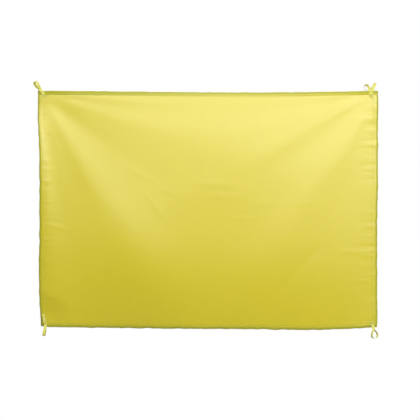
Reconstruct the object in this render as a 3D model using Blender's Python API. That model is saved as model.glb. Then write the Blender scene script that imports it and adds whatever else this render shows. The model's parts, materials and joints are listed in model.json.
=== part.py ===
"""A hanging flag: a hemmed cloth panel with a stiffening patch and a sewn ribbon loop at each corner.

Metres, +Z up. X runs along the top edge, the front face looks along -Y, and the origin is the middle of the top edge,
where the line between the two upper loops would run. Layers of cloth lie one behind the other along Y.
"""

import math

import bmesh
import bpy
from mathutils import Vector

# The panel as it hangs
FLAG_WIDTH = 1.000
FLAG_HEIGHT = 0.692
TOP_SAG = 0.005
TOP_SKEW = 1.4
BOTTOM_WAVE = 0.0085
# The bottom edge hangs lowest towards its right end: how much, where, and over what share of the width
BOTTOM_DIP = (0.0050, 0.82, 0.16)
# Each side edge is pulled in: by how much, from what share of the height, and over what share
LEFT_PULL = (0.007, 0.05, 0.25)
RIGHT_PULL = (0.0025, 0.38, 0.20)
# Lower down the left edge swings out again
LEFT_SWING = (0.0025, 0.78, 0.13)
SIDE_HEM = 0.020
END_HEM = 0.013
STITCH_INSET = 0.002
CELLS_ACROSS = 34
CELLS_DOWN = 24

# Layers, front to back
GAP = 0.0003
CLOTH = 0.0006
HEM_LAYERS = 0.0008
PATCH_CLOTH = 0.0006
THREAD = 0.0004
THREAD_WIDTH = 0.0010

# Drape. The belly: waves across, waves down, height
BILLOWS = (
    (1, 1, 0.0250),
    (2, 1, 0.0060),
    (1, 2, -0.0030),
    (2, 2, -0.0020),
    (3, 1, 0.0010),
    (1, 3, 0.0028),
    (3, 2, -0.0020),
)
FLAT_CORNER = 0.045
FLAT_FADE = 0.080
# Folds that leave a top corner: side (-1 left, 1 right), degrees below the top edge, half-width in degrees, height,
# distance of its fullest point
CORNER_FOLDS = (
    (-1, 58, 8.5, 0.0050, 0.55),
    (-1, 77, 15.0, 0.0050, 0.16),
    (-1, 88, 7.0, 0.0125, 0.27),
    (-1, 38, 7.5, -0.0008, 0.22),
    (-1, 18, 5.5, 0.0005, 0.20),
    (1, 57, 7.5, 0.0028, 0.40),
    (1, 64, 5.5, 0.0006, 0.15),
    (1, 29, 5.5, 0.0009, 0.26),
    (1, 88, 14.0, -0.0045, 0.22),
)
# Swags that hang between both top corners: drop at the middle, half-width, height
SWAGS = ((0.034, 0.026, 0.0016), (0.110, 0.042, 0.0011), (0.245, 0.065, -0.0010))

# Ribbon
RIBBON_WIDTH = 0.008
RIBBON = 0.0006
LAYER_STEP = RIBBON + 0.0002
TAB_THICKNESS = RIBBON + LAYER_STEP
TAB_LENGTH = 0.009
BARTACK_LENGTH = 0.0045
BARTACK_WIDTH = 0.0066
BARTACK_THICKNESS = 0.0005
EYE_STATIONS = 36
NECK_STATIONS = 8
EARED_STATIONS = 84
EYE_FULLNESS = 1.35
EYE_TAPER = 1.2
LEAN = 0.0025
TWIST_START = 0.6
TWIST_LENGTH = 0.014

# Corner patch
PATCH_LEG = 0.040
PATCH_INSET = 0.0015
EDGING_WIDTH = 0.0015
EDGING_INSET = 0.004

# Hinge line of each ribbon, on the front of its sewn ends: x, z and the way the loop points, in degrees from +X
# towards +Z. Then the lengths of the neck, where both strands lie together, and of the whole loop, and the eye's
# width and its turn out of the flag's plane: 90 opens front to back
TEARDROPS = {
    "top_left": ((-0.4825, -0.0089), 126.0, 0.0150, 0.0435, 0.0190, 60.0),
    "bottom_left": ((-0.4764, -0.6872), -98.5, 0.0060, 0.0316, 0.0140, 88.0),
    "bottom_right": ((0.4831, -0.6857), -80.0, 0.0135, 0.0404, 0.0215, 33.0),
}
# The lower left ribbon's sewn ends slant up the hem: the way they point from the hinge line, their length and how far
# in their bartack is
SLANTED_TABS = {"bottom_left": (103.0, 0.034, 0.0062)}
# The upper right loop stands in two ears. Each point is across, along and in front of the hinge line, with the
# direction of the ribbon's width there
EARED_HINGE = (0.4787, -0.0088)
EARED_DIRECTION = 90.0
EARED_POINTS = (
    ((0.0000, 0.0003, -0.0011), (1.00, 0.00, 0.00)),
    ((-0.0004, 0.0035, -0.0009), (1.00, 0.00, 0.00)),
    ((-0.0036, 0.0095, -0.0008), (0.93, 0.33, 0.10)),
    ((-0.0062, 0.0180, -0.0014), (0.78, 0.38, 0.48)),
    ((-0.0098, 0.0244, -0.0032), (0.42, 0.46, 0.72)),
    ((-0.0152, 0.0262, -0.0062), (-0.02, 0.36, 0.90)),
    ((-0.0192, 0.0212, -0.0094), (-0.24, 0.12, 0.96)),
    ((-0.0150, 0.0130, -0.0120), (0.00, 0.00, 1.00)),
    ((-0.0030, 0.0135, -0.0135), (0.30, 0.00, 0.95)),
    ((0.0075, 0.0210, -0.0105), (0.72, -0.35, 0.60)),
    ((0.0125, 0.0320, -0.0035), (0.72, -0.33, 0.60)),
    ((0.0095, 0.0240, 0.0025), (0.80, -0.36, 0.48)),
    ((0.0040, 0.0110, 0.0022), (0.95, -0.20, 0.22)),
    ((0.0004, 0.0035, 0.0000), (1.00, 0.00, 0.00)),
    ((0.0000, 0.0003, -0.0003), (1.00, 0.00, 0.00)),
)

CORNERS = {"top_left": (-1, 1), "top_right": (1, 1), "bottom_left": (-1, -1), "bottom_right": (1, -1)}

PANEL_FRONT = -CLOTH / 2
PANEL_BACK = CLOTH / 2
HEM_FRONT = PANEL_BACK + GAP
HEM_BACK = HEM_FRONT + HEM_LAYERS
PATCH_FRONT = HEM_BACK + GAP
PATCH_BACK = PATCH_FRONT + PATCH_CLOTH
EDGING_BACK = PATCH_FRONT + THREAD
STITCH_BACK = PANEL_FRONT - GAP
STITCH_FRONT = STITCH_BACK - THREAD
TAB_BACK = STITCH_FRONT - GAP
TAB_FRONT = TAB_BACK - TAB_THICKNESS
BARTACK_BACK = TAB_FRONT - GAP


# ---------------------------------------------------------------- the hanging surface


def smooth(t):
    t = min(max(t, 0.0), 1.0)
    return t * t * (3 - 2 * t)


def corner_point(side, level):
    """A corner of the panel: side -1 is left, level 1 is the top."""
    return outline(0.5 + side / 2, 0.5 - level / 2)


def pull(v, most, start, reach):
    return most * smooth((v - start) / reach)


def bump(t, height, middle, reach):
    return height * math.exp(-(((t - middle) / reach) ** 2))


def outline(u, v):
    """x and z of the hanging panel, u from left to right and v from top to bottom."""
    left = -FLAG_WIDTH / 2 + pull(v, *LEFT_PULL) - bump(v, *LEFT_SWING)
    right = FLAG_WIDTH / 2 - pull(v, *RIGHT_PULL)
    top = -TOP_SAG * math.sin(math.pi * u**TOP_SKEW)
    wave = BOTTOM_WAVE * max(math.sin(math.pi * u), 0.0) ** 0.7 * (0.5 + 0.4 * u)
    bottom = -FLAG_HEIGHT - wave - bump(u, *BOTTOM_DIP)
    return left + (right - left) * u, top + (bottom - top) * v


def corner_folds(x, z):
    depth = 0.0
    for side, angle, spread, height, fullest in CORNER_FOLDS:
        inward = side * FLAG_WIDTH / 2 - x
        reach = math.hypot(inward, z)
        if reach < 1e-6:
            continue
        away = (math.degrees(math.atan2(-z, side * inward)) - angle) / spread
        depth += height * math.exp(-away * away) * (reach / fullest) * math.exp(1 - reach / fullest)
    return depth


def swags(u, z):
    hang = max(4 * u * (1 - u), 0.02)
    drop = -z / hang
    return sum(h * math.exp(-(((drop - q) / w) ** 2)) * math.sqrt(hang) for q, w, h in SWAGS)


def corner_fade(x, z):
    """0 within a flat corner, rising to 1 away from all four."""
    fade = 1.0
    for side, level in CORNERS.values():
        cx, cz = corner_point(side, level)
        fade *= smooth((math.hypot(x - cx, z - cz) - FLAT_CORNER) / FLAT_FADE)
    return fade


def depth(u, v):
    """y of the panel's middle surface. The cloth bellies towards the front, which is -Y."""
    x, z = outline(u, v)
    belly = sum(h * math.sin(m * math.pi * u) * math.sin(n * math.pi * v) for m, n, h in BILLOWS)
    return -corner_fade(x, z) * (belly + corner_folds(x, z) + swags(u, z))


def stations(count, length, hem):
    """Shares of a side where the panel has a grid line: its hems' stitches and inner edges, and even cells between."""
    row = hem - STITCH_INSET
    near = [0.0, row - THREAD_WIDTH / 2, row + THREAD_WIDTH / 2, hem, hem + GAP]
    even = [hem + (length - 2 * hem) * i / count for i in range(1, count)]
    far = [length - s for s in reversed(near)]
    return [s / length for s in near + even + far]


# ---------------------------------------------------------------- meshes


def material(name, colour, roughness):
    made = bpy.data.materials.new(name)
    made.use_nodes = True
    shader = made.node_tree.nodes["Principled BSDF"]
    shader.inputs["Base Color"].default_value = (*colour, 1.0)
    shader.inputs["Roughness"].default_value = roughness
    shader.inputs["Metallic"].default_value = 0.0
    return made


def add_object(name, bm, look, rounded=False, origin=None):
    """An object from a bmesh in world space, its own origin moved to the given point."""
    bmesh.ops.recalc_face_normals(bm, faces=bm.faces)
    if origin:
        bmesh.ops.translate(bm, verts=bm.verts, vec=-Vector(origin))
    mesh = bpy.data.meshes.new(name)
    bm.to_mesh(mesh)
    bm.free()
    made = bpy.data.objects.new(name, mesh)
    made.location = origin or (0.0, 0.0, 0.0)
    mesh.materials.append(look)
    if rounded:
        mesh.shade_smooth()
        mesh.set_sharp_from_angle(angle=math.radians(40))
    bpy.context.scene.collection.objects.link(made)
    return made


def slab(name, us, vs, front, back, look):
    """A layer of the hanging cloth over the grid lines us by vs, between two offsets from its middle surface."""
    bm = bmesh.new()
    faces = []
    for offset in (front, back):
        rows = []
        for v in vs:
            row = []
            for u in us:
                x, z = outline(u, v)
                row.append(bm.verts.new((x, depth(u, v) + offset, z)))
            rows.append(row)
        faces.append(rows)
    near, far = faces
    for i in range(len(vs) - 1):
        for j in range(len(us) - 1):
            for rows in faces:
                a, b = rows[i][j], rows[i][j + 1]
                c, d = rows[i + 1][j + 1], rows[i + 1][j]
                bm.faces.new((a, b, c))
                bm.faces.new((a, c, d))
    rim = [(0, j) for j in range(len(us))]
    rim += [(i, len(us) - 1) for i in range(1, len(vs))]
    rim += [(len(vs) - 1, j) for j in range(len(us) - 2, -1, -1)]
    rim += [(i, 0) for i in range(len(vs) - 2, 0, -1)]
    for (i, j), (k, m) in zip(rim, rim[1:] + rim[:1]):
        bm.faces.new((near[i][j], near[k][m], far[k][m], far[i][j]))
    return add_object(name, bm, look, rounded=True)


def plate(name, points, front, back, look):
    """A flat piece of the given outline in X and Z, between two places along Y."""
    bm = bmesh.new()
    near = [bm.verts.new((x, front, z)) for x, z in points]
    far = [bm.verts.new((x, back, z)) for x, z in points]
    bm.faces.new(near)
    bm.faces.new(far)
    for i in range(len(points)):
        k = (i + 1) % len(points)
        bm.faces.new((near[i], near[k], far[k], far[i]))
    return add_object(name, bm, look)


def oblong(centre, angle, length, width):
    """Corners of a rectangle in X and Z whose length runs along the angle."""
    along = Vector((math.cos(angle), math.sin(angle)))
    across = Vector((-along.y, along.x))
    middle = Vector(centre)
    signs = ((-1, -1), (1, -1), (1, 1), (-1, 1))
    return [tuple(middle + along * (a * length / 2) + across * (b * width / 2)) for a, b in signs]


# ---------------------------------------------------------------- ribbon loops


def teardrop(neck, length, width, turn):
    """Stations of a ribbon that leaves the hinge line, rounds an eye and comes back one layer behind.

    Each is a point (across, along, in front of the hinge line) and the ribbon's width as a direction there."""
    out = [(GAP + (neck - GAP) * i / NECK_STATIONS, 0.0) for i in range(NECK_STATIONS)]
    eye = []
    for i in range(EYE_STATIONS + 1):
        if i in (1, EYE_STATIONS - 1):
            continue  # these lie too close to the eye's ends
        phase = 2 * math.pi * i / EYE_STATIONS
        opening = width / 2 * EYE_FULLNESS * math.sin(phase) * math.sin(phase / 2) ** EYE_TAPER
        eye.append((neck + (length - neck) * (1 - math.cos(phase)) / 2, opening))
    route = out + eye + out[::-1]
    found = []
    for i, (along, opening) in enumerate(route):
        parted = LAYER_STEP / 2 * (1 + smooth(along / neck)) * math.cos(math.pi * i / (len(route) - 1))
        angle = math.radians(90 + (turn - 90) * smooth((along - TWIST_START * neck) / TWIST_LENGTH))
        opens = Vector((math.cos(angle), 0.0, math.sin(angle)))
        lean = LEAN * smooth(along / neck)
        point = Vector((0.0, along, lean - TAB_THICKNESS / 2)) + opens * (parted + opening)
        found.append((point, Vector((math.sin(angle), 0.0, -math.cos(angle)))))
    return found


def curve_point(points, t):
    """Catmull-Rom curve through the points, t from 0 to 1."""
    last = len(points) - 1
    i = min(int(t * last), last - 1)
    s = t * last - i
    a, b, c, d = (points[min(max(k, 0), last)] for k in (i - 1, i, i + 1, i + 2))
    return b + (c - a) * (s / 2) + (2 * a - 5 * b + 4 * c - d) * (s * s / 2) + (3 * b - a - 3 * c + d) * (s**3 / 2)


def eared():
    """Stations of the loop that stands in two ears, as teardrop gives them."""
    points = [Vector(p) for p, _ in EARED_POINTS]
    widths = [Vector(w) for _, w in EARED_POINTS]
    shares = [i / EARED_STATIONS for i in range(EARED_STATIONS + 1)]
    return [(curve_point(points, t), curve_point(widths, t)) for t in shares]


def ribbon_loop(name, hinge, direction, found, look):
    """Sweeps the ribbon's flat section along its stations and sets it at its hinge line."""
    out = math.radians(direction)
    along = Vector((math.cos(out), 0.0, math.sin(out)))
    across = Vector((math.sin(out), 0.0, -math.cos(out)))
    front = Vector((0.0, -1.0, 0.0))
    origin = Vector((hinge[0], TAB_FRONT, hinge[1]))
    place = [origin + across * p.x + along * p.y + front * p.z for p, _ in found]
    bm = bmesh.new()
    rings = []
    last = len(place) - 1
    for i, (_, wide) in enumerate(found):
        if i in (0, last):
            tangent = along if i == 0 else -along
        else:
            tangent = (place[i + 1] - place[i - 1]).normalized()
        width = across * wide.x + along * wide.y + front * wide.z
        width = (width - tangent * width.dot(tangent)).normalized() * (RIBBON_WIDTH / 2)
        thick = tangent.cross(width).normalized() * (RIBBON / 2)
        corners = (width + thick, -width + thick, -width - thick, width - thick)
        rings.append([bm.verts.new(place[i] + c) for c in corners])
    for a, b in zip(rings, rings[1:]):
        for k, m in ((0, 1), (1, 2), (3, 2), (0, 3)):
            bm.faces.new((a[k], a[m], b[m]))
            bm.faces.new((a[k], b[m], b[k]))
    bm.faces.new(rings[0])
    bm.faces.new(rings[-1])
    return add_object(name, bm, look, rounded=True, origin=origin)


def ribbon_fixings(corner, hinge, direction, ribbon, thread):
    """The two sewn ends of a ribbon, as one doubled tab, and the block of thread across it."""
    out = math.radians(direction)
    across = Vector((math.sin(out), -math.cos(out))) * (RIBBON_WIDTH / 2)
    points_to, length, sewn_at = SLANTED_TABS.get(corner, (direction + 180.0, TAB_LENGTH, TAB_LENGTH / 2))
    angle = math.radians(points_to)
    inwards = Vector((math.cos(angle), math.sin(angle)))
    root = Vector(hinge)
    tab = [root + across, root + across + inwards * length, root - across + inwards * length, root - across]
    plate("ribbon_tab_" + corner, [tuple(p) for p in tab], TAB_FRONT, TAB_BACK, ribbon)
    tack = oblong(root + inwards * sewn_at, angle, BARTACK_LENGTH, BARTACK_WIDTH)
    plate("bartack_" + corner, tack, BARTACK_BACK - BARTACK_THICKNESS, BARTACK_BACK, thread)


# ---------------------------------------------------------------- the flag


def panel_and_hems(cloth, hem, thread):
    us = stations(CELLS_ACROSS, FLAG_WIDTH, SIDE_HEM)
    vs = stations(CELLS_DOWN, FLAG_HEIGHT, END_HEM)
    slab("flag_panel", us, vs, PANEL_FRONT, PANEL_BACK, cloth)
    slab("hem_top", us, vs[:4], HEM_FRONT, HEM_BACK, hem)
    slab("hem_bottom", us, vs[-4:], HEM_FRONT, HEM_BACK, hem)
    between = vs[4:-4]
    slab("hem_left", us[:4], between, HEM_FRONT, HEM_BACK, hem)
    slab("hem_right", us[-4:], between, HEM_FRONT, HEM_BACK, hem)
    slab("hem_stitching_top", us, vs[1:3], STITCH_FRONT, STITCH_BACK, thread)
    slab("hem_stitching_bottom", us, vs[-3:-1], STITCH_FRONT, STITCH_BACK, thread)
    slab("hem_stitching_left", us[1:3], between, STITCH_FRONT, STITCH_BACK, thread)
    slab("hem_stitching_right", us[-3:-1], between, STITCH_FRONT, STITCH_BACK, thread)


def corner_patch(corner, patch, thread):
    """The triangle behind a corner, and the overcast thread that binds its long side."""
    side, level = CORNERS[corner]
    x, z = corner_point(side, level)
    x -= side * PATCH_INSET
    z -= level * PATCH_INSET
    points = [(x, z), (x - side * PATCH_LEG, z), (x, z - level * PATCH_LEG)]
    plate("corner_patch_" + corner, points, PATCH_FRONT, PATCH_BACK, patch)
    long_side = PATCH_LEG * math.sqrt(2)
    middle = PATCH_LEG / 2 + (GAP + EDGING_WIDTH / 2) / math.sqrt(2)
    row = oblong(
        (x - side * middle, z - level * middle),
        math.radians(-45 * side * level),
        long_side - 2 * EDGING_INSET,
        EDGING_WIDTH,
    )
    plate("patch_stitching_" + corner, row, PATCH_FRONT, EDGING_BACK, thread)


def clear_scene():
    for old in list(bpy.data.objects):
        bpy.data.objects.remove(old)


def main():
    clear_scene()
    cloth = material("flag_cloth", (0.80, 0.70, 0.10), 0.50)
    hem = material("hem_cloth", (0.62, 0.55, 0.06), 0.52)
    patch = material("patch_cloth", (0.66, 0.58, 0.07), 0.52)
    ribbon = material("ribbon", (0.72, 0.68, 0.16), 0.45)
    thread = material("thread", (0.75, 0.68, 0.14), 0.60)
    panel_and_hems(cloth, hem, thread)
    for corner in CORNERS:
        corner_patch(corner, patch, thread)
    for corner, (hinge, direction, *shape) in TEARDROPS.items():
        ribbon_loop("ribbon_loop_" + corner, hinge, direction, teardrop(*shape), ribbon)
        ribbon_fixings(corner, hinge, direction, ribbon, thread)
    ribbon_loop("ribbon_loop_top_right", EARED_HINGE, EARED_DIRECTION, eared(), ribbon)
    ribbon_fixings("top_right", EARED_HINGE, EARED_DIRECTION, ribbon, thread)


main()
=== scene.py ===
"""A hanging flag with a ribbon loop at each corner: the looks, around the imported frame.

Metres, in the frame's own axes: X runs along the top edge, the front looks along -Y, and the origin is the
middle of the top edge. Places come from the frame's boxes and joints, and from the sizes below.
"""

import json
import math
import random

import bpy
import numpy as np
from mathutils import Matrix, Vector


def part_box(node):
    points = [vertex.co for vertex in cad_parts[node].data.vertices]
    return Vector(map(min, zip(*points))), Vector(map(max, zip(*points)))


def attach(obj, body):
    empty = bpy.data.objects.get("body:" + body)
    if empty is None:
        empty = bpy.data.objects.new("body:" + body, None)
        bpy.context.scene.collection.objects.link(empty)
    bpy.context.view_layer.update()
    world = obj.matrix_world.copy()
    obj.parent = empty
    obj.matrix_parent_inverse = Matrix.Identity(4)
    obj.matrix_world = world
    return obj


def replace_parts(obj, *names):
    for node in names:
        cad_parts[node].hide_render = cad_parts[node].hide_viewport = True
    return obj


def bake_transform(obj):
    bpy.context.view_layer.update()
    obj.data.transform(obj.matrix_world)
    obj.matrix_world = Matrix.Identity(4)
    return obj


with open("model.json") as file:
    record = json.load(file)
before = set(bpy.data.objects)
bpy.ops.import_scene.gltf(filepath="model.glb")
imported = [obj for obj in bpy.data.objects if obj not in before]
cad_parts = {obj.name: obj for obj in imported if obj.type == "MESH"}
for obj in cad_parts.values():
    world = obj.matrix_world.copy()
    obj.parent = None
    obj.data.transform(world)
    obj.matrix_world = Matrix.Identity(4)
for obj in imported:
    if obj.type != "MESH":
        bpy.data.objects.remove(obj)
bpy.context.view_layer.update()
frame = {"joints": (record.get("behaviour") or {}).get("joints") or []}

# The panel as it hangs, as the CAD model drapes it
FLAG_WIDTH = 1.000
FLAG_HEIGHT = 0.692
TOP_SAG = 0.005
TOP_SKEW = 1.4
BOTTOM_WAVE = 0.0085
# The bottom edge hangs lowest towards its right end: how much, where, and over what share of the width
BOTTOM_DIP = (0.0050, 0.82, 0.16)
# Each side edge is pulled in: by how much, from what share of the height, and over what share
LEFT_PULL = (0.007, 0.05, 0.25)
RIGHT_PULL = (0.0025, 0.38, 0.20)
# Lower down the left edge swings out again
LEFT_SWING = (0.0025, 0.78, 0.13)
SIDE_HEM = 0.020
END_HEM = 0.013
STITCH_INSET = 0.002

# Drape. The belly: waves across, waves down, height
BILLOWS = (
    (1, 1, 0.0250),
    (2, 1, 0.0060),
    (1, 2, -0.0030),
    (2, 2, -0.0020),
    (3, 1, 0.0010),
    (1, 3, 0.0028),
    (3, 2, -0.0020),
)
FLAT_CORNER = 0.030
FLAT_FADE = 0.080
# Folds that leave a top corner: side (-1 left, 1 right), degrees below the top edge, half-width in degrees,
# height, distance of the fullest point
CORNER_FOLDS = (
    (-1, 58, 8.5, 0.0050, 0.55),
    (-1, 77, 15.0, 0.0050, 0.16),
    (-1, 88, 7.0, 0.0125, 0.27),
    (-1, 38, 7.5, -0.0008, 0.22),
    (-1, 18, 5.5, 0.0005, 0.20),
    (1, 57, 7.5, 0.0028, 0.40),
    (1, 64, 5.5, 0.0006, 0.15),
    (1, 29, 5.5, 0.0009, 0.26),
    (1, 88, 14.0, -0.0045, 0.22),
)
# Swags that hang between both top corners: drop at the middle, half-width, height
SWAGS = ((0.034, 0.026, 0.0016), (0.110, 0.042, 0.0011), (0.245, 0.065, -0.0010))
# Small creases: middle (x, z), degrees above level, length, half-width, height
CREASES = (
    (-0.188, -0.250, -27, 0.110, 0.007, 0.00030),
    (-0.154, -0.337, -52, 0.100, 0.007, 0.00035),
    (-0.120, -0.296, -14, 0.070, 0.006, 0.00020),
    (0.020, -0.274, 0, 0.130, 0.011, 0.00040),
    (0.050, -0.309, -2, 0.110, 0.008, 0.00025),
    (0.094, -0.372, 0, 0.080, 0.005, 0.00030),
    (0.190, -0.330, 3, 0.100, 0.005, 0.00020),
    (0.300, -0.326, 6, 0.080, 0.006, 0.00020),
    (0.260, -0.530, 51, 0.240, 0.014, -0.00075),
    (0.140, -0.490, 15, 0.035, 0.005, 0.00030),
    (0.440, -0.476, -8, 0.090, 0.008, 0.00040),
    (0.440, -0.558, -3, 0.080, 0.006, 0.00025),
    (-0.449, -0.396, -15, 0.075, 0.006, 0.00040),
    (-0.460, -0.505, -10, 0.055, 0.006, 0.00030),
    (-0.460, -0.600, -35, 0.065, 0.007, 0.00040),
)

# The lower left corner curls back along the outer side of its ribbon: x and drop of a point on that line,
# its lean, the length over which the curl grows, its slope, and how wide its bend is
CURL_AT = -0.4838
CURL_DOWN = 0.672
CURL_LEAN = 0.23
CURL_REACH = 0.055
CURL_SLOPE = 1.20
CURL_BEND = 0.0035

# Cloth and hems
CELL = 0.004
CLOTH = 0.0004
HEM_GAP = 0.0001
HEM_LAYERS = 0.0009
HEM_WRAP = 0.0005
# The side hems stop this far short of the top and bottom hems
HEM_CLEAR = 0.0003
GROOVE = {"top": 0.0003, "bottom": 0.0002, "left": 0.0001, "right": 0.0001}
GROOVE_WIDTH = 0.0011
HEM_PUFF = 0.0002
# How far back each side's outer edge rolls, or forward where negative, and how wide the roll is
ROLL = {"top": -0.0025, "bottom": 0.0026, "left": 0.0026, "right": 0.0026}
ROLL_WIDTH = {"top": 0.0120, "bottom": 0.0085, "left": 0.0080, "right": 0.0080}
# How much each side is puckered by its row of stitches and wavers at its edge, and how far in either goes
PUCKER = {"top": 0.00004, "bottom": 0.00010, "left": 0.00025, "right": 0.00025}
EDGE_WOBBLE = {"top": 0.0003, "bottom": 0.0006, "left": 0.0006, "right": 0.0005}
PUCKER_REACH = 0.018
WOBBLE_REACH = 0.03
# Of the wavering and of the puckers: shortest and longest wave, and how many waves add up
WOBBLE_WAVES = (0.03, 0.12, 6)
GATHER_WAVES = (0.011, 0.045, 8)
# Where the panel's grid lines lie close together: at its very edge, and around each row of stitches
EDGE_STATIONS = (0.0, 0.0006, 0.0014, 0.0024, 0.0036)
SEAM_STATIONS = (-0.0012, -0.0006, 0.0, 0.0006, 0.0012, 0.0024)
# How much deeper the colour of each side's hem is: partly the doubled cloth's own deeper colour and partly
# painted shade, most of it on the top hem; over what width that fades; how much of it is lost towards the
# brightly lit upper right and how fast; and the width and fade of a band of painted shade at the outline,
# partly the deeper colour of the cloth folded round there
DEEPER = {"top": 0.90, "bottom": 0.35, "left": 0.05, "right": 0.05}
DEEPER_FADE = 0.003
PALE_SHARE = 0.75
PALE_RATE = 1.6
EDGE_SHADE_BAND = 0.0035
EDGE_SHADE_FADE = 0.004

# Sewing
THREAD = 0.0003
STITCH = 0.0032
STITCH_GAP = 0.06
# The share of the width that a top or bottom row leaves free at each end
ROW_MARGIN = 0.004
STROKE_RINGS = 6
STROKE_SIDES = 6

# Corner patch. It lies PATCH_BEHIND the panel on the hems, and dips towards the panel where there is no hem
PATCH_INSET = 0.0015
PATCH = 0.0005
PATCH_STEPS = 22
PATCH_BEHIND = 0.0014
PATCH_DIP = 0.0008
PATCH_DIP_START = 0.004
PATCH_DIP_WIDTH = 0.006
PATCH_RIM = 0.0001
# Its zigzag edging: how many stitches, what share of the long side is left free at each end, how far the
# stitches reach outwards and inwards, and how far their outer ends go forward beside the patch
ZIGZAG_STITCHES = 26
ZIGZAG_MARGIN = 0.06
ZIGZAG_OUT = 0.0009
ZIGZAG_IN = 0.0008
ZIGZAG_DROP = 0.0004
# How its long side shows through the panel, as painted shade where the patch behind holds back light: where
# (the sum of both distances inwards), the mark's half-width, and how much deeper the painted shade of the
# mark and of the cloth in front of the patch is
PATCH_MARK = 0.0425
PATCH_MARK_WIDTH = 0.0020
SEAM_SHADE = 0.60
PATCH_SHADE = 0.20

# Ribbon, as the CAD model lays it
RIBBON_WIDTH = 0.008
RIBBON = 0.0005
LAYER_STEP = 0.0008
TAB_THICKNESS = 0.0014
TAB_LENGTH = 0.009
EYE_STATIONS = 36
EYE_FULLNESS = 1.35
EYE_TAPER = 1.2
NECK_STATIONS = 8
NECK_START = 0.0003
LEAN = 0.0025
TWIST_START = 0.6
TWIST_LENGTH = 0.014
RIBBON_STEP = 0.0006
# Across the ribbon, in shares of its half-width, and how thick it is there: a selvedge stands a little proud
RIBBON_SECTION = ((-1.0, 0.35), (-0.985, 0.85), (-0.94, 1.12), (-0.86, 1.0), (-0.5, 0.96), (0.0, 0.95))
# Points along a sewn end, as shares of its length from the inner end to the hinge line
TAB_STATIONS = (1.0, 0.85, 0.7, 0.55, 0.4, 0.27, 0.15)
# Three loops: length of the neck, where both strands lie together, whole length, the eye's width and turn
TEARDROPS = {
    "top_left": (0.0150, 0.0435, 0.0190, 60.0),
    "bottom_left": (0.0060, 0.0316, 0.0140, 88.0),
    "bottom_right": (0.0135, 0.0404, 0.0215, 33.0),
}
# The lower left ribbon's sewn ends slant up the hem: how far across for each metre inwards, then their
# length and their bartack's place, both inwards
SLANTED_TABS = {"bottom_left": (-0.394, 0.0316, 0.0058)}
UPRIGHT_TAB = (0.0, TAB_LENGTH, TAB_LENGTH / 2)
# The upper right loop: points across, along and in front of its hinge line, and the direction of the
# ribbon's width at each
EARED_POINTS = (
    ((0.0000, 0.0003, -0.0011), (1.00, 0.00, 0.00)),
    ((-0.0004, 0.0035, -0.0009), (1.00, 0.00, 0.00)),
    ((-0.0036, 0.0095, -0.0008), (0.93, 0.33, 0.10)),
    ((-0.0062, 0.0180, -0.0014), (0.78, 0.38, 0.48)),
    ((-0.0098, 0.0244, -0.0032), (0.42, 0.46, 0.72)),
    ((-0.0152, 0.0262, -0.0062), (-0.02, 0.36, 0.90)),
    ((-0.0192, 0.0212, -0.0094), (-0.24, 0.12, 0.96)),
    ((-0.0150, 0.0130, -0.0120), (0.00, 0.00, 1.00)),
    ((-0.0030, 0.0135, -0.0135), (0.30, 0.00, 0.95)),
    ((0.0075, 0.0210, -0.0105), (0.72, -0.35, 0.60)),
    ((0.0125, 0.0320, -0.0035), (0.72, -0.33, 0.60)),
    ((0.0095, 0.0240, 0.0025), (0.80, -0.36, 0.48)),
    ((0.0040, 0.0110, 0.0022), (0.95, -0.20, 0.22)),
    ((0.0004, 0.0035, 0.0000), (1.00, 0.00, 0.00)),
    ((0.0000, 0.0003, -0.0003), (1.00, 0.00, 0.00)),
)
BARTACK_LENGTH = 0.0045
BARTACK_WIDTH = 0.0066
BARTACK_STROKES = 19
BARTACK_UNEVEN = 0.94
BARTACK_PROUD = 0.0001

# Looks: base colours as linear light, and screen colours for ribbon, thread and floor
YELLOW = (0.885, 0.755, 0.011, 1.0)
# The deeper yellow of random tone and weave, which also serves as painted shade on the hems, along the
# outline and over the corner patches
DEEP_YELLOW = (0.64, 0.62, 0.006, 1.0)
HEM_YELLOW = (0.78, 0.71, 0.024, 1.0)
RIBBON_COLOURS = ((241, 236, 116), (222, 218, 88))
THREAD_COLOURS = ((218, 209, 76), (198, 189, 54))
FLOOR_COLOURS = ((226, 226, 224), (216, 216, 214))
WEAVE_PITCH = 0.0007
RIB_PITCH = 0.0007
CLOTH_ROUGHNESS = 0.37
# The share of light that goes through one layer of cloth, and through a hem
THROUGH_PANEL = 0.15
THROUGH_HEM = 0.08

# Studio. Each light: place, size, power. All of them look at MIDDLE
MIDDLE = (0.0, 0.0, -0.35)
LIGHTS = {
    "key": ((1.30, -2.10, 0.44), (0.90, 0.90), 24.2),
    "fill": ((-0.35, -2.28, 1.24), (2.6, 2.6), 51.0),
    "back": ((-0.3, 2.4, 0.3), (2.5, 2.5), 44.0),
}
AMBIENT = 0.20
FLOOR_HALF = 3.2
FLOOR_Z = -2.9
FLOOR_GLOW = 0.85
CAMERA_AT = (0.006, -2.912, -0.3495)
LENS = 85.0
SENSOR = 36.0

SIDES = ("top", "bottom", "left", "right")
CORNERS = {"top_left": (-1, 1), "top_right": (1, 1), "bottom_left": (-1, -1), "bottom_right": (1, -1)}
FORWARDS = np.array([0.0, -1.0, 0.0])
HINGES = {j["name"].removeprefix("swing_"): j for j in frame["joints"]}

rng = random.Random(7)


# ---------------------------------------------------------------- the hanging surface


def smooth(t):
    t = np.clip(t, 0.0, 1.0)
    return t * t * (3 - 2 * t)


def pull(v, most, start, reach):
    return most * smooth((v - start) / reach)


def bump(t, height, middle, reach):
    return height * np.exp(-(((t - middle) / reach) ** 2))


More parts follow.
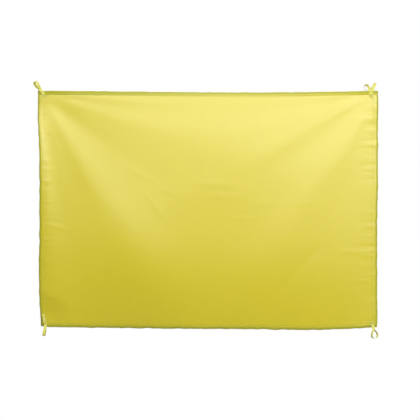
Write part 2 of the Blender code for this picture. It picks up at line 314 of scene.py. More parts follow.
def outline(u, v):
    """x and z of the hanging panel, u from left to right and v from top to bottom."""
    left = -FLAG_WIDTH / 2 + pull(v, *LEFT_PULL) - bump(v, *LEFT_SWING)
    right = FLAG_WIDTH / 2 - pull(v, *RIGHT_PULL)
    top = -TOP_SAG * np.sin(np.pi * u**TOP_SKEW)
    wave = BOTTOM_WAVE * np.maximum(np.sin(np.pi * u), 0) ** 0.7 * (0.5 + 0.4 * u)
    bottom = -FLAG_HEIGHT - wave - bump(u, *BOTTOM_DIP)
    return left + (right - left) * u, top + (bottom - top) * v


def corner_folds(x, z):
    depth = 0.0
    for side, angle, spread, height, fullest in CORNER_FOLDS:
        inward = side * FLAG_WIDTH / 2 - x
        reach = np.hypot(inward, z) + 1e-6
        away = (np.degrees(np.arctan2(-z, side * inward)) - angle) / spread
        depth = depth + height * np.exp(-away * away) * (reach / fullest) * np.exp(1 - reach / fullest)
    return depth


def swags(u, z):
    hang = np.maximum(4 * u * (1 - u), 0.02)
    drop = -z / hang
    return sum(h * np.exp(-(((drop - q) / w) ** 2)) * np.sqrt(hang) for q, w, h in SWAGS)


def creases(x, z):
    depth = 0.0
    for cx, cz, angle, length, width, height in CREASES:
        c, s = math.cos(math.radians(angle)), math.sin(math.radians(angle))
        along = (x - cx) * c + (z - cz) * s
        across = (z - cz) * c - (x - cx) * s + 0.6 * along * along
        depth = depth + height * np.exp(-((across / width) ** 2) - (2 * along / length) ** 4)
    return depth


def corner_fade(x, z):
    """0 within a flat corner, rising to 1 away from all four."""
    fade = 1.0
    for u, v in ((0, 0), (1, 0), (0, 1), (1, 1)):
        cx, cz = outline(float(u), float(v))
        fade = fade * smooth((np.hypot(x - cx, z - cz) - FLAT_CORNER) / FLAT_FADE)
    return fade


def depth(u, v):
    """y of the panel's middle surface. The cloth bellies towards the front, which is -Y."""
    x, z = outline(u, v)
    belly = sum(h * np.sin(m * np.pi * u) * np.sin(n * np.pi * v) for m, n, h in BILLOWS)
    return -corner_fade(x, z) * (belly + corner_folds(x, z) + swags(u, z) + creases(x, z))


def curl(x, z):
    """How far the lower left corner stands back."""
    outside = np.maximum(CURL_AT - CURL_LEAN * (z + CURL_DOWN) - x, 0)
    grown = smooth((-z - CURL_DOWN) / CURL_REACH + 1)
    return CURL_SLOPE * outside**2 / (outside + CURL_BEND) * grown


class Ripple:
    """A smooth random wave along a line: a few sines with random phases, about -1 to 1."""

    def __init__(self, shortest, longest, waves):
        lengths = [shortest * (longest / shortest) ** (i / (waves - 1)) for i in range(waves)]
        turn = 2 * math.pi
        self.waves = [(turn / s * rng.uniform(0.85, 1.15), rng.uniform(0, turn)) for s in lengths]

    def __call__(self, t):
        return sum(np.sin(k * t + p) for k, p in self.waves) / math.sqrt(len(self.waves))


WOBBLE = {side: Ripple(*WOBBLE_WAVES) for side in SIDES}
GATHER = {side: Ripple(*GATHER_WAVES) for side in SIDES}


def from_edges(u, v):
    """For each side: distance inwards from that edge, distance along it, and its hem's width."""
    across, down = u * FLAG_WIDTH, v * FLAG_HEIGHT
    return {
        "top": (down, across, END_HEM),
        "bottom": (FLAG_HEIGHT - down, across, END_HEM),
        "left": (across, down, SIDE_HEM),
        "right": (FLAG_WIDTH - across, down, SIDE_HEM),
    }


def sewn_relief(u, v):
    """What sewing adds to the panel's depth: a groove at each row, puffed and rolled hems, and puckers."""
    relief = 0.0
    for side, (inward, along, hem) in from_edges(u, v).items():
        row = hem - STITCH_INSET
        groove = GROOVE[side] * np.exp(-(((inward - row) / GROOVE_WIDTH) ** 2))
        puff = HEM_PUFF * np.sin(np.pi * np.clip(inward / row, 0, 1))
        tight = np.exp(-np.maximum(inward - row, 0) / PUCKER_REACH) * np.clip(inward / row, 0.35, 1)
        relief = relief + groove - puff + PUCKER[side] * GATHER[side](along) * tight
        relief = relief + ROLL[side] * np.clip(1 - inward / ROLL_WIDTH[side], 0, 1) ** 2
    return relief


def place(u, v):
    """Points of the panel's middle surface, sewing included, for arrays u and v."""
    x, z = outline(u, v)
    for side, (inward, along, _) in from_edges(u, v).items():
        shift = EDGE_WOBBLE[side] * WOBBLE[side](along) * np.exp(-np.maximum(inward, 0) / WOBBLE_REACH)
        if side in ("left", "right"):
            x = x + shift
        else:
            z = z + shift
    return np.stack([x, depth(u, v) + sewn_relief(u, v) + curl(x, z), z], -1)


# ---------------------------------------------------------------- meshes


def add_object(name, mesh, look, body="flag"):
    made = bpy.data.objects.new(name, mesh)
    mesh.materials.append(look)
    bpy.context.scene.collection.objects.link(made)
    if body:
        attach(made, body)
    return made


def set_uv(mesh, flat):
    """The flat cloth's own coordinates, in metres, as UVs: weave and ribs follow them."""
    loops = np.zeros(len(mesh.loops), np.int32)
    mesh.loops.foreach_get("vertex_index", loops)
    mesh.uv_layers.new(name="Cut").data.foreach_set("uv", flat[loops].astype(np.float32).ravel())


def set_mask(mesh, name, values):
    mesh.attributes.new(name, "FLOAT", "POINT").data.foreach_set("value", values.astype(np.float32).ravel())


def sheet_mesh(name, front, back, flat):
    """A closed sheet from two grids of points, with the flat cloth's coordinates for either grid."""
    rows, columns = front.shape[:2]
    count = rows * columns
    verts = np.concatenate([front.reshape(-1, 3), back.reshape(-1, 3)])
    i, j = np.meshgrid(np.arange(rows - 1), np.arange(columns - 1), indexing="ij")
    a = (i * columns + j).ravel()
    near = np.stack([a, a + columns, a + columns + 1, a + 1], 1)
    far = near[:, ::-1] + count
    rim = list(range(columns))
    rim += [i * columns + columns - 1 for i in range(1, rows)]
    rim += [(rows - 1) * columns + j for j in range(columns - 2, -1, -1)]
    rim += [i * columns for i in range(rows - 2, 0, -1)]
    rim = np.array(rim)
    after = np.roll(rim, -1)
    band = np.stack([rim, after, after + count, rim + count], 1)
    mesh = bpy.data.meshes.new(name)
    mesh.from_pydata(verts.tolist(), [], np.concatenate([near, far, band]).tolist())
    set_uv(mesh, np.concatenate([flat.reshape(-1, 2)] * 2))
    mesh.shade_smooth()
    return mesh


def stations(length, hem):
    """Distances from one end of a side to the panel's grid lines, closest together at edges and rows."""
    row = hem - STITCH_INSET
    edge = list(EDGE_STATIONS)
    seam = [row + s for s in SEAM_STATIONS]
    between = row - SEAM_STATIONS[-1] - edge[-1]
    within = max(2, round(between / CELL))
    flat = [edge[-1] + between * (i + 1) / within for i in range(within)]
    near = edge + flat + seam
    cells = round((length - 2 * near[-1]) / CELL)
    even = [near[-1] + (length - 2 * near[-1]) * i / cells for i in range(1, cells)]
    return np.array(near + even + [length - s for s in reversed(near)])


def panel(look):
    across = stations(FLAG_WIDTH, SIDE_HEM) / FLAG_WIDTH
    down = stations(FLAG_HEIGHT, END_HEM) / FLAG_HEIGHT
    v, u = np.meshgrid(down, across, indexing="ij")
    middle = place(u, v)
    half = np.array([0, CLOTH / 2, 0])
    flat = np.stack([u * FLAG_WIDTH, -v * FLAG_HEIGHT], -1)
    mesh = sheet_mesh("panel_cloth", middle - half, middle + half, flat)
    doubled, edge = 0.0, 0.0
    for side, (inward, _, width) in from_edges(u, v).items():
        beyond_row = inward - width + STITCH_INSET
        # Deeper colour over each hem: partly the doubled cloth's own colour, partly painted shade
        doubled = np.maximum(doubled, DEEPER[side] * (1 - smooth(beyond_row / DEEPER_FADE)))
        # A band of painted shade along the outline, partly the deeper colour of the cloth folded round there
        edge = np.maximum(edge, 1 - smooth((inward - EDGE_SHADE_BAND) / EDGE_SHADE_FADE))
    # The painted shade on the hems weakens towards the upper right, where the light falls brightest
    doubled = doubled * (1 - PALE_SHARE * smooth(PALE_RATE * u) * (1 - v))
    set_mask(mesh, "DoubledAndShade", np.concatenate([doubled.ravel()] * 2))
    set_mask(mesh, "EdgeShade", np.concatenate([edge.ravel()] * 2))
    made = add_object("panel_cloth", mesh, look)
    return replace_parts(made, "flag_panel")


# Distance inwards in shares of the hem, then its front and back as shares of the hem's layers
HEM_PROFILE = (
    (1.00, 0.30, 0.72),
    (0.97, 0.06, 0.97),
    (0.90, 0.00, 1.00),
    (0.70, 0.00, 1.05),
    (0.45, 0.00, 1.12),
    (0.20, 0.00, 1.10),
    (0.08, 0.00, 1.00),
)
# The same where the hem turns round the panel's edge, with inwards in metres and the front in shares of CLOTH
HEM_TURN = ((0.0004, 0.0, 0.85), (-0.0001, -0.6, 0.60), (-HEM_WRAP, -0.5, 0.15))


def hem(side, look):
    """The doubled margin behind one side, whose outer edge wraps forward round the panel's."""
    is_end = side in ("top", "bottom")
    width = END_HEM if is_end else SIDE_HEM
    length = FLAG_WIDTH if is_end else FLAG_HEIGHT
    along = np.linspace(0.0, 1.0, round(length / CELL) + 1)
    if not is_end:
        start = (END_HEM + HEM_CLEAR) / FLAG_HEIGHT
        along = start + (1 - 2 * start) * along
    profile = [(s * width, f * HEM_LAYERS + HEM_GAP, b * HEM_LAYERS + HEM_GAP) for s, f, b in HEM_PROFILE]
    profile += [(i, f * CLOTH, b * HEM_LAYERS) for i, f, b in HEM_TURN]
    inward, t = np.meshgrid([i for i, _, _ in profile], along, indexing="ij")
    if side == "top":
        u, v = t, inward / FLAG_HEIGHT
    elif side == "bottom":
        u, v = t, 1 - inward / FLAG_HEIGHT
    elif side == "left":
        u, v = inward / FLAG_WIDTH, t
    else:
        u, v = 1 - inward / FLAG_WIDTH, t
    middle = place(u, v) + np.array([0, CLOTH / 2, 0])
    front, back = middle.copy(), middle.copy()
    front[..., 1] += np.array([f for _, f, _ in profile])[:, None]
    back[..., 1] += np.array([b for _, _, b in profile])[:, None]
    if side in ("bottom", "left"):
        front, back, inward, t = front[:, ::-1], back[:, ::-1], inward[:, ::-1], t[:, ::-1]
    mesh = sheet_mesh("hem_fold_" + side, front, back, np.stack([t * length, inward], -1))
    made = add_object("hem_fold_" + side, mesh, look)
    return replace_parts(made, "hem_" + side)


# ---------------------------------------------------------------- thread


def strokes_mesh(name, starts, ends, out, rise, radius=THREAD / 2):
    """Short lengths of thread, each from one point to another, arched outwards and with its ends sunk in."""
    starts, ends, out = (np.asarray(a, float) for a in (starts, ends, out))
    count = len(starts)
    along = ends - starts
    length = np.linalg.norm(along, axis=1, keepdims=True)
    along = along / length
    side = np.cross(along, out)
    side /= np.linalg.norm(side, axis=1, keepdims=True)
    up = np.cross(side, along)
    share = np.linspace(0, 1, STROKE_RINGS)
    turn = np.linspace(0, 2 * np.pi, STROKE_SIDES, endpoint=False)
    arch = rise * (1 - (2 * share - 1) ** 4) - radius * 0.9 * (1 - np.sin(np.pi * share)) ** 3
    thick = radius * (0.45 + 0.55 * np.sin(np.pi * share) ** 0.5)
    above = arch[:, None] + thick[:, None] * np.sin(turn)
    beside = thick[:, None] * np.cos(turn)
    verts = (
        starts[:, None, None]
        + along[:, None, None] * (length[:, None, None] * share[None, :, None, None])
        + up[:, None, None] * above[None, :, :, None]
        + side[:, None, None] * beside[None, :, :, None]
    )
    ring, k = np.meshgrid(np.arange(STROKE_RINGS - 1), np.arange(STROKE_SIDES), indexing="ij")
    a = ring * STROKE_SIDES + k
    b = ring * STROKE_SIDES + (k + 1) % STROKE_SIDES
    walls = np.stack([a, b, b + STROKE_SIDES, a + STROKE_SIDES], -1).reshape(-1, 4)
    per = STROKE_RINGS * STROKE_SIDES
    shift = (np.arange(count) * per)[:, None, None]
    faces = (walls[None] + shift).reshape(-1, 4).tolist()
    first = np.arange(STROKE_SIDES)[::-1]
    caps = np.stack([first, (per - STROKE_SIDES) + np.arange(STROKE_SIDES)], 0)
    faces += (caps[None] + shift).reshape(-1, STROKE_SIDES).tolist()
    mesh = bpy.data.meshes.new(name)
    mesh.from_pydata(verts.reshape(-1, 3).tolist(), [], faces)
    mesh.shade_smooth()
    return mesh


def row_points(side, count):
    """Points along a hem's row of stitches, count + 1 of them, as u and v."""
    t = np.linspace(0.0, 1.0, count + 1)
    if side in ("top", "bottom"):
        inward = (END_HEM - STITCH_INSET) / FLAG_HEIGHT
        t = ROW_MARGIN + (1 - 2 * ROW_MARGIN) * t
        return t, np.full_like(t, inward if side == "top" else 1 - inward)
    inward = (SIDE_HEM - STITCH_INSET) / FLAG_WIDTH
    ends = END_HEM / FLAG_HEIGHT
    t = ends + (1 - 2 * ends) * t
    return np.full_like(t, inward if side == "left" else 1 - inward), t


def hem_thread(side, look):
    """The row of lockstitches that holds a hem: one row in front and one behind, each in its groove."""
    length = FLAG_WIDTH if side in ("top", "bottom") else FLAG_HEIGHT
    count = round(length / STITCH)
    u, v = row_points(side, count)
    points = place(u, v)
    starts, ends, out = [], [], []
    for face, offset in ((-1, -CLOTH / 2), (1, CLOTH / 2 + HEM_GAP + HEM_LAYERS)):
        line = points + np.array([0, offset, 0])
        gap = (line[1:] - line[:-1]) * STITCH_GAP
        starts.append(line[:-1] + gap)
        ends.append(line[1:] - gap)
        out.append(np.tile([0.0, face, 0.0], (count, 1)))
    starts, ends, out = (np.concatenate(a) for a in (starts, ends, out))
    mesh = strokes_mesh("hem_thread_" + side, starts, ends, out, THREAD * 0.45)
    made = add_object("hem_thread_" + side, mesh, look)
    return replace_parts(made, "hem_stitching_" + side)


# ---------------------------------------------------------------- corners


def patch_point(corner, a, b, behind):
    """A point behind the panel, a metres in from the patch's side edge and b from its other edge."""
    side, level = CORNERS[corner]
    inward, down = (PATCH_INSET + a) / FLAG_WIDTH, (PATCH_INSET + b) / FLAG_HEIGHT
    x, y, z = place(np.array(inward if side < 0 else 1 - inward), np.array(down if level > 0 else 1 - down))
    off_hems = 1.0
    for distance, width in ((a, SIDE_HEM), (b, END_HEM)):
        off_hems *= float(smooth((distance - width + PATCH_DIP_START) / PATCH_DIP_WIDTH))
    return float(x), float(y) + PATCH_BEHIND - PATCH_DIP * off_hems + behind, float(z)


def patch(corner, cloth, thread):
    """The triangle that stiffens a corner behind, with its zigzag edging."""
    side, level = CORNERS[corner]
    low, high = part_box("corner_patch_" + corner)
    leg, steps = high.x - low.x, PATCH_STEPS
    cells = [(i, j) for i in range(steps + 1) for j in range(steps + 1 - i)]
    places = [(leg * i / steps, leg * j / steps) for i, j in cells]
    index = {cell: k for k, cell in enumerate(cells)}
    count = len(cells)
    thin = [PATCH_RIM if min(i, j, steps - i - j) == 0 else 0.0 for i, j in cells]
    verts = [patch_point(corner, a, b, t) for (a, b), t in zip(places, thin)]
    verts += [patch_point(corner, a, b, PATCH - t) for (a, b), t in zip(places, thin)]
    faces = []
    turned = side * level > 0
    for i in range(steps):
        for j in range(steps - i):
            tris = [(index[i, j], index[i + 1, j], index[i, j + 1])]
            if i + j < steps - 1:
                tris.append((index[i + 1, j], index[i + 1, j + 1], index[i, j + 1]))
            for t in tris:
                t = t if turned else t[::-1]
                faces += [t, tuple(k + count for k in t[::-1])]
    rim = [index[i, 0] for i in range(steps + 1)]
    rim += [index[steps - j, j] for j in range(1, steps + 1)]
    rim += [index[0, j] for j in range(steps - 1, 0, -1)]
    for a, b in zip(rim, rim[1:] + rim[:1]):
        quad = (b, a, a + count, b + count)
        faces.append(quad if turned else quad[::-1])
    mesh = bpy.data.meshes.new("patch_cloth_" + corner)
    mesh.from_pydata(verts, [], faces)
    set_uv(mesh, np.array(places * 2))
    mesh.shade_smooth()
    made = add_object("patch_cloth_" + corner, mesh, cloth)
    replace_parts(made, "corner_patch_" + corner)

    points = []
    for k in range(ZIGZAG_STITCHES + 1):
        share = ZIGZAG_MARGIN + (1 - 2 * ZIGZAG_MARGIN) * k / ZIGZAG_STITCHES
        off_cloth = k % 2
        out = ZIGZAG_OUT if off_cloth else -ZIGZAG_IN
        a, b = leg * (1 - share) + out, leg * share + out
        points.append(patch_point(corner, a, b, PATCH - (ZIGZAG_DROP if off_cloth else 0.0)))
    points = np.array(points)
    behind = np.tile(-FORWARDS, (ZIGZAG_STITCHES, 1))
    mesh = strokes_mesh("patch_thread_" + corner, points[:-1], points[1:], behind, THREAD * 0.5)
    sewn = add_object("patch_thread_" + corner, mesh, thread)
    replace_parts(sewn, "patch_stitching_" + corner)
    return made, sewn


def teardrop(neck, length, width, turn):
    """Stations of a ribbon that leaves the hinge line, rounds an eye and comes back one layer behind."""
    out = [(NECK_START + (neck - NECK_START) * i / NECK_STATIONS, 0.0) for i in range(NECK_STATIONS)]
    eye = []
    for i in range(EYE_STATIONS + 1):
        if i in (1, EYE_STATIONS - 1):
            continue  # these lie too close to the eye's ends
        phase = 2 * math.pi * i / EYE_STATIONS
        opening = width / 2 * EYE_FULLNESS * math.sin(phase) * math.sin(phase / 2) ** EYE_TAPER
        eye.append((neck + (length - neck) * (1 - math.cos(phase)) / 2, opening))
    route = out + eye + out[::-1]
    found = []
    for i, (along, opening) in enumerate(route):
        parted = LAYER_STEP / 2 * (1 + smooth(along / neck)) * math.cos(math.pi * i / (len(route) - 1))
        angle = math.radians(90 + (turn - 90) * smooth((along - TWIST_START * neck) / TWIST_LENGTH))
        opens = np.array([math.cos(angle), 0.0, math.sin(angle)])
        lean = LEAN * smooth(along / neck)
        point = np.array([0.0, along, lean - TAB_THICKNESS / 2]) + opens * (parted + opening)
        found.append((point, np.array([math.sin(angle), 0.0, -math.cos(angle)])))
    return found


def spline(points, step):
    """Points every step along a Catmull-Rom curve through the given ones. Each point is a row of numbers."""
    points = np.asarray(points, float)
    padded = np.concatenate([2 * points[:1] - points[1:2], points, 2 * points[-1:] - points[-2:-1]])
    fine = []
    for i in range(1, len(padded) - 2):
        a, b, c, d = padded[i - 1 : i + 3]
        slope, bend, change = c - a, 2 * a - 5 * b + 4 * c - d, 3 * b - a - 3 * c + d
        for s in np.linspace(0, 1, 16, endpoint=False):
            fine.append(b + (slope * s + bend * s * s + change * s**3) / 2)
    fine.append(points[-1])
    fine = np.array(fine)
    run = np.concatenate([[0], np.cumsum(np.linalg.norm(np.diff(fine[:, :3], axis=0), axis=1))])
    even = np.linspace(0, run[-1], max(2, round(run[-1] / step)) + 1)
    return np.stack([np.interp(even, run, fine[:, k]) for k in range(fine.shape[1])], 1), even


def hinge_frame(corner):
    """The middle of a ribbon's hinge line, the line's direction, and the way out along the ribbon."""
    joint = HINGES[corner]
    across = np.array(joint["axis"])
    return np.array(joint["pos_m"]), across, np.cross(FORWARDS, across)


def ribbon(corner, look):
    """One ribbon: from one sewn end, out past the hinge line, round its loop and back to the other end."""
    hinge, across, along = hinge_frame(corner)
    if corner in TEARDROPS:
        found = teardrop(*TEARDROPS[corner])
    else:
        found = [(np.array(p), np.array(w)) for p, w in EARED_POINTS]
    first, last = found[0][0][2], found[-1][0][2]
    flat_width = np.array([1.0, 0.0, 0.0])
    slant, tab, _ = SLANTED_TABS.get(corner, UPRIGHT_TAB)
    inner = [-tab * s for s in TAB_STATIONS]
    found = (
        [(np.array([a * slant, a, first]), flat_width) for a in inner]
        + found
        + [(np.array([a * slant, a, last]), flat_width) for a in reversed(inner)]
    )
    rows, run = spline([np.concatenate(f) for f in found], RIBBON_STEP)
    axes = np.array([across, along, FORWARDS])
    centres = hinge + rows[:, :3] @ axes
    wide = rows[:, 3:] @ axes
    tangent = np.gradient(centres, axis=0)
    tangent /= np.linalg.norm(tangent, axis=1, keepdims=True)
    wide -= tangent * (wide * tangent).sum(1, keepdims=True)
    wide /= np.linalg.norm(wide, axis=1, keepdims=True)
    thick = np.cross(tangent, wide)
    half = list(RIBBON_SECTION) + [(-s, h) for s, h in reversed(RIBBON_SECTION[:-1])]
    ring = half + [(s, -h) for s, h in reversed(half)]
    verts = np.stack([centres + wide * (s * RIBBON_WIDTH / 2) + thick * (h * RIBBON / 2) for s, h in ring], 1)
    rings, sides = verts.shape[:2]
    faces = []
    for i in range(rings - 1):
        for k in range(sides):
            m = (k + 1) % sides
            faces.append((i * sides + k, i * sides + m, (i + 1) * sides + m, (i + 1) * sides + k))
    faces.append(tuple(range(sides))[::-1])
    faces.append(tuple((rings - 1) * sides + k for k in range(sides)))
    mesh = bpy.data.meshes.new("ribbon_" + corner)
    mesh.from_pydata(verts.reshape(-1, 3).tolist(), [], faces)
    set_uv(mesh, np.array([(distance, s * RIBBON_WIDTH / 2) for distance in run for s, _ in ring]))
    mesh.shade_smooth()
    made = add_object("ribbon_" + corner, mesh, look, body=None)
    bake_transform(made)
    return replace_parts(made, "ribbon_loop_" + corner, "ribbon_tab_" + corner)


def bartack(corner, look):
    """The dense zigzag of thread across a ribbon's sewn ends."""
    hinge, across, along = hinge_frame(corner)
    slant, _, sewn_at = SLANTED_TABS.get(corner, UPRIGHT_TAB)
    centre = hinge - (along + across * slant) * sewn_at + FORWARDS * BARTACK_PROUD
    up_tab = (along + across * slant) / math.hypot(1.0, slant)
    over_tab = (across - along * slant) / math.hypot(1.0, slant)
    points = []
    for k in range(BARTACK_STROKES + 1):
        s = BARTACK_WIDTH * (k / BARTACK_STROKES - 0.5)
        end = BARTACK_LENGTH / 2 * (1 if k % 2 else -1) * rng.uniform(BARTACK_UNEVEN, 1.0)
        points.append(centre + over_tab * s + up_tab * end)
    points = np.array(points)
    out = np.tile(FORWARDS, (BARTACK_STROKES, 1))
    mesh = strokes_mesh("bartack_thread_" + corner, points[:-1], points[1:], out, THREAD * 0.6)
    made = add_object("bartack_thread_" + corner, mesh, look)
    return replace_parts(made, "bartack_" + corner)


# ---------------------------------------------------------------- materials


def linear(r, g, b):
    """A colour given as it looks on a screen, 0 to 255, as linear light."""
    channels = [c / 255 for c in (r, g, b)]
    return tuple(c / 12.92 if c <= 0.04045 else ((c + 0.055) / 1.055) ** 2.4 for c in channels) + (1.0,)


class Look:
    """A node-based material under construction."""

    def __init__(self, name):
        self.material = bpy.data.materials.new(name)
        self.material.use_nodes = True
        self.tree = self.material.node_tree
        self.shader = self.tree.nodes["Principled BSDF"]
        self.surface = self.tree.nodes["Material Output"].inputs["Surface"]

    def put(self, socket, value):
        """Link the socket to an output, or set it to a plain value."""
        if isinstance(value, bpy.types.NodeSocket):
            self.tree.links.new(value, socket)
        else:
            socket.default_value = value

    def set(self, name, value):
        """Set an input of the material's main shader."""
        self.put(self.shader.inputs[name], value)

    def node(self, kind, **inputs):
        made = self.tree.nodes.new(kind)
        for name, value in inputs.items():
            self.put(made.inputs[name], value)
        return made

    def maths(self, operation, *values):
        made = self.tree.nodes.new("ShaderNodeMath")
        made.operation = operation
        for socket, value in zip(made.inputs, values):
            self.put(socket, value)
        return made.outputs[0]

    def mix(self, share, a, b):
        """Colour a, with this share of colour b."""
        made = self.tree.nodes.new("ShaderNodeMix")
        made.data_type = "RGBA"
        for index, value in ((0, share), (6, a), (7, b)):
            self.put(made.inputs[index], value)
        return made.outputs[2]

    def cut(self):
        """The flat cloth's coordinates, in metres."""
        made = self.tree.nodes.new("ShaderNodeUVMap")
        made.uv_map = "Cut"
        return made.outputs["UV"]

    def place(self):
        return self.tree.nodes.new("ShaderNodeTexCoord").outputs["Object"]

    def noise(self, vector, scale, detail=2.0):
        return self.node("ShaderNodeTexNoise", Vector=vector, Scale=scale, Detail=detail).outputs["Fac"]

    def ridges(self, vector, direction, pitch):
        """Even ridges every pitch metres, from 0 to 1."""
        parts = self.node("ShaderNodeSeparateXYZ", Vector=vector)
        angle = self.maths("MULTIPLY", parts.outputs[direction], 2 * math.pi / pitch)
        return self.maths("MULTIPLY_ADD", self.maths("SINE", angle), 0.5, 0.5)

    def bump(self, height, strength, distance):
        made = self.node("ShaderNodeBump", Height=height, Strength=strength, Distance=distance)
        self.set("Normal", made.outputs[0])


def weave(look, pitch):
    """A plain weave's height from the cloth's own coordinates, from 0 to 1."""
    warp = look.ridges(look.cut(), 0, pitch)
    weft = look.ridges(look.cut(), 1, pitch)
    return look.maths("MULTIPLY", warp, weft)


def patch_shade_through(look):
    """The corner patches as they show through the front, as painted shade: their sewn edge and, fainter, the
    doubled cloth.
    """
    parts = look.node("ShaderNodeSeparateXYZ", Vector=look.cut())
    across, down = parts.outputs[0], look.maths("MULTIPLY", parts.outputs[1], -1.0)
    inward = look.maths("MINIMUM", across, look.maths("SUBTRACT", FLAG_WIDTH, across))
    level = look.maths("MINIMUM", down, look.maths("SUBTRACT", FLAG_HEIGHT, down))
    beyond = look.maths("SUBTRACT", look.maths("ADD", inward, level), PATCH_MARK)
    from_seam = look.maths("DIVIDE", look.maths("ABSOLUTE", beyond), PATCH_MARK_WIDTH)
    seam = look.maths("MAXIMUM", look.maths("SUBTRACT", 1.0, from_seam), 0.0)
    within = look.maths("LESS_THAN", beyond, 0.0)
    seam_part = look.maths("MULTIPLY", seam, SEAM_SHADE)
    return look.maths("ADD", seam_part, look.maths("MULTIPLY", within, PATCH_SHADE))


def mix_shaders(tree, share, a, b, surface):
    """Join two shaders at a surface, by a plain share or by an output."""
    mixed = tree.nodes.new("ShaderNodeMixShader")
    if isinstance(share, bpy.types.NodeSocket):
        tree.links.new(share, mixed.inputs[0])
    else:
        mixed.inputs[0].default_value = share
    tree.links.new(a, mixed.inputs[1])
    tree.links.new(b, mixed.inputs[2])
    tree.links.new(mixed.outputs[0], surface)


def cloth_look(name, colour, through, masks=(), marks=False):
    """Thin glossy polyester. Some light goes through it, and it is deeper in colour where a mask is high,
    partly as painted shade.
    """
    look = Look(name)
    shade = look.noise(look.place(), 7.0, 3.0)
    base = look.mix(look.maths("MULTIPLY", shade, 0.10), colour, DEEP_YELLOW)
    # The masks deepen the colour: the hems' doubled cloth together with painted shade on the hems and along
    # the outline
    for of_mask in masks:
        mask = look.node("ShaderNodeAttribute")
        mask.attribute_name = of_mask
        base = look.mix(mask.outputs["Fac"], base, DEEP_YELLOW)
    # Painted shade where the corner patches lie behind the panel and hold back light
    if marks:
        base = look.mix(patch_shade_through(look), base, DEEP_YELLOW)
    threads = weave(look, WEAVE_PITCH)
    base = look.mix(look.maths("MULTIPLY", threads, 0.06), base, DEEP_YELLOW)
    look.set("Base Color", base)
    uneven = look.maths("MULTIPLY", look.noise(look.place(), 40.0), 0.06)
    look.set("Roughness", look.maths("ADD", uneven, CLOTH_ROUGHNESS - 0.03))
    look.set("IOR", 1.65)
    look.set("Specular IOR Level", 0.9)
    look.bump(threads, 0.25, 0.0002)
    clear = look.node("ShaderNodeBsdfTranslucent", Color=base)
    mix_shaders(look.tree, through, look.shader.outputs[0], clear.outputs[0], look.surface)
    return look.material


def ribbon_look(colour, deep):
    """Narrow woven ribbon with fine ribs across it."""
    look = Look("ribbon")
    ribs = look.ridges(look.cut(), 0, RIB_PITCH)
    look.set("Base Color", look.mix(look.maths("MULTIPLY", ribs, 0.25), colour, deep))
    look.set("Roughness", 0.5)
    look.set("Sheen Weight", 0.3)
    look.bump(ribs, 0.5, 0.0002)
    return look.material


def thread_look(colour, deep):
    look = Look("thread")
    twist = look.noise(look.place(), 2500.0, 1.0)
    look.set("Base Color", look.mix(twist, colour, deep))
    look.set("Roughness", 0.5)
    look.set("Sheen Weight", 0.2)
    return look.material


# ---------------------------------------------------------------- studio


def area_light(name, location, size, power):
    data = bpy.data.lights.new(name, "AREA")
    data.shape = "RECTANGLE"
    data.size, data.size_y = size
    data.energy = power
    made = bpy.data.objects.new(name, data)
    made.location = location
    made.rotation_euler = (Vector(MIDDLE) - Vector(location)).to_track_quat("-Z", "Y").to_euler()
    bpy.context.scene.collection.objects.link(made)


def studio():
    """Three soft lights, a little even light, and a white backdrop that itself lights nothing."""
    scene = bpy.context.scene
    scene.view_settings.view_transform = "Standard"
    world = bpy.data.worlds.new("studio")
    scene.world = world
    world.use_nodes = True
    tree = world.node_tree
    ambient, backdrop = tree.nodes["Background"], tree.nodes.new("ShaderNodeBackground")
    for background, strength in ((ambient, AMBIENT), (backdrop, 1.0)):
        background.inputs["Color"].default_value = (1.0, 1.0, 1.0, 1.0)
        background.inputs["Strength"].default_value = strength
    seen = tree.nodes.new("ShaderNodeLightPath").outputs["Is Camera Ray"]
    surface = tree.nodes["World Output"].inputs["Surface"]
    mix_shaders(tree, seen, ambient.outputs[0], backdrop.outputs[0], surface)
    for name, settings in LIGHTS.items():
        area_light(name, *settings)


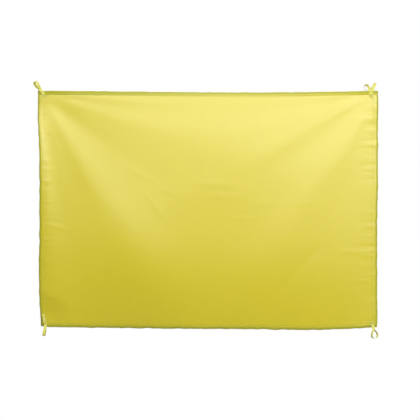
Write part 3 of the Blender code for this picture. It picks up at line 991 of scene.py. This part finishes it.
def floor():
    mesh = bpy.data.meshes.new("studio_floor")
    outline_2d = ((-1, -1), (1, -1), (1, 1), (-1, 1))
    mesh.from_pydata([(x * FLOOR_HALF, y * FLOOR_HALF, FLOOR_Z) for x, y in outline_2d], [], [(0, 1, 2, 3)])
    look = Look("floor")
    grain = look.noise(look.place(), 6.0, 3.0)
    tone = look.mix(grain, *(linear(*c) for c in FLOOR_COLOURS))
    look.set("Base Color", tone)
    look.set("Roughness", 0.8)
    # It is seen as bright as the backdrop, which its place far below the lights doesn't give it
    glow = look.node("ShaderNodeEmission", Color=tone, Strength=FLOOR_GLOW)
    lit = look.node("ShaderNodeAddShader")
    look.put(lit.inputs[0], look.shader.outputs[0])
    look.put(lit.inputs[1], glow.outputs[0])
    seen = look.node("ShaderNodeLightPath").outputs["Is Camera Ray"]
    mix_shaders(look.tree, seen, look.shader.outputs[0], lit.outputs[0], look.surface)
    mesh.materials.append(look.material)
    made = bpy.data.objects.new("studio_floor", mesh)
    bpy.context.scene.collection.objects.link(made)


def camera():
    data = bpy.data.cameras.new("camera")
    data.lens = LENS
    data.sensor_width = SENSOR
    made = bpy.data.objects.new("camera", data)
    made.location = CAMERA_AT
    made.rotation_euler = (math.radians(90), 0.0, 0.0)
    bpy.context.scene.collection.objects.link(made)
    bpy.context.scene.camera = made


# ---------------------------------------------------------------- the flag


def main():
    camera()
    studio()
    floor()
    cloth = cloth_look("flag_cloth", YELLOW, THROUGH_PANEL, masks=("DoubledAndShade", "EdgeShade"), marks=True)
    doubled = cloth_look("hem_cloth", HEM_YELLOW, THROUGH_HEM)
    ribbon_stuff = ribbon_look(*(linear(*c) for c in RIBBON_COLOURS))
    thread = thread_look(*(linear(*c) for c in THREAD_COLOURS))
    flag = panel(cloth)
    pieces = []
    for side in SIDES:
        pieces.append(hem(side, doubled))
        pieces.append(hem_thread(side, thread))
    for corner in CORNERS:
        pieces += patch(corner, doubled, thread)
        pieces.append(ribbon(corner, ribbon_stuff))
        pieces.append(bartack(corner, thread))


main()
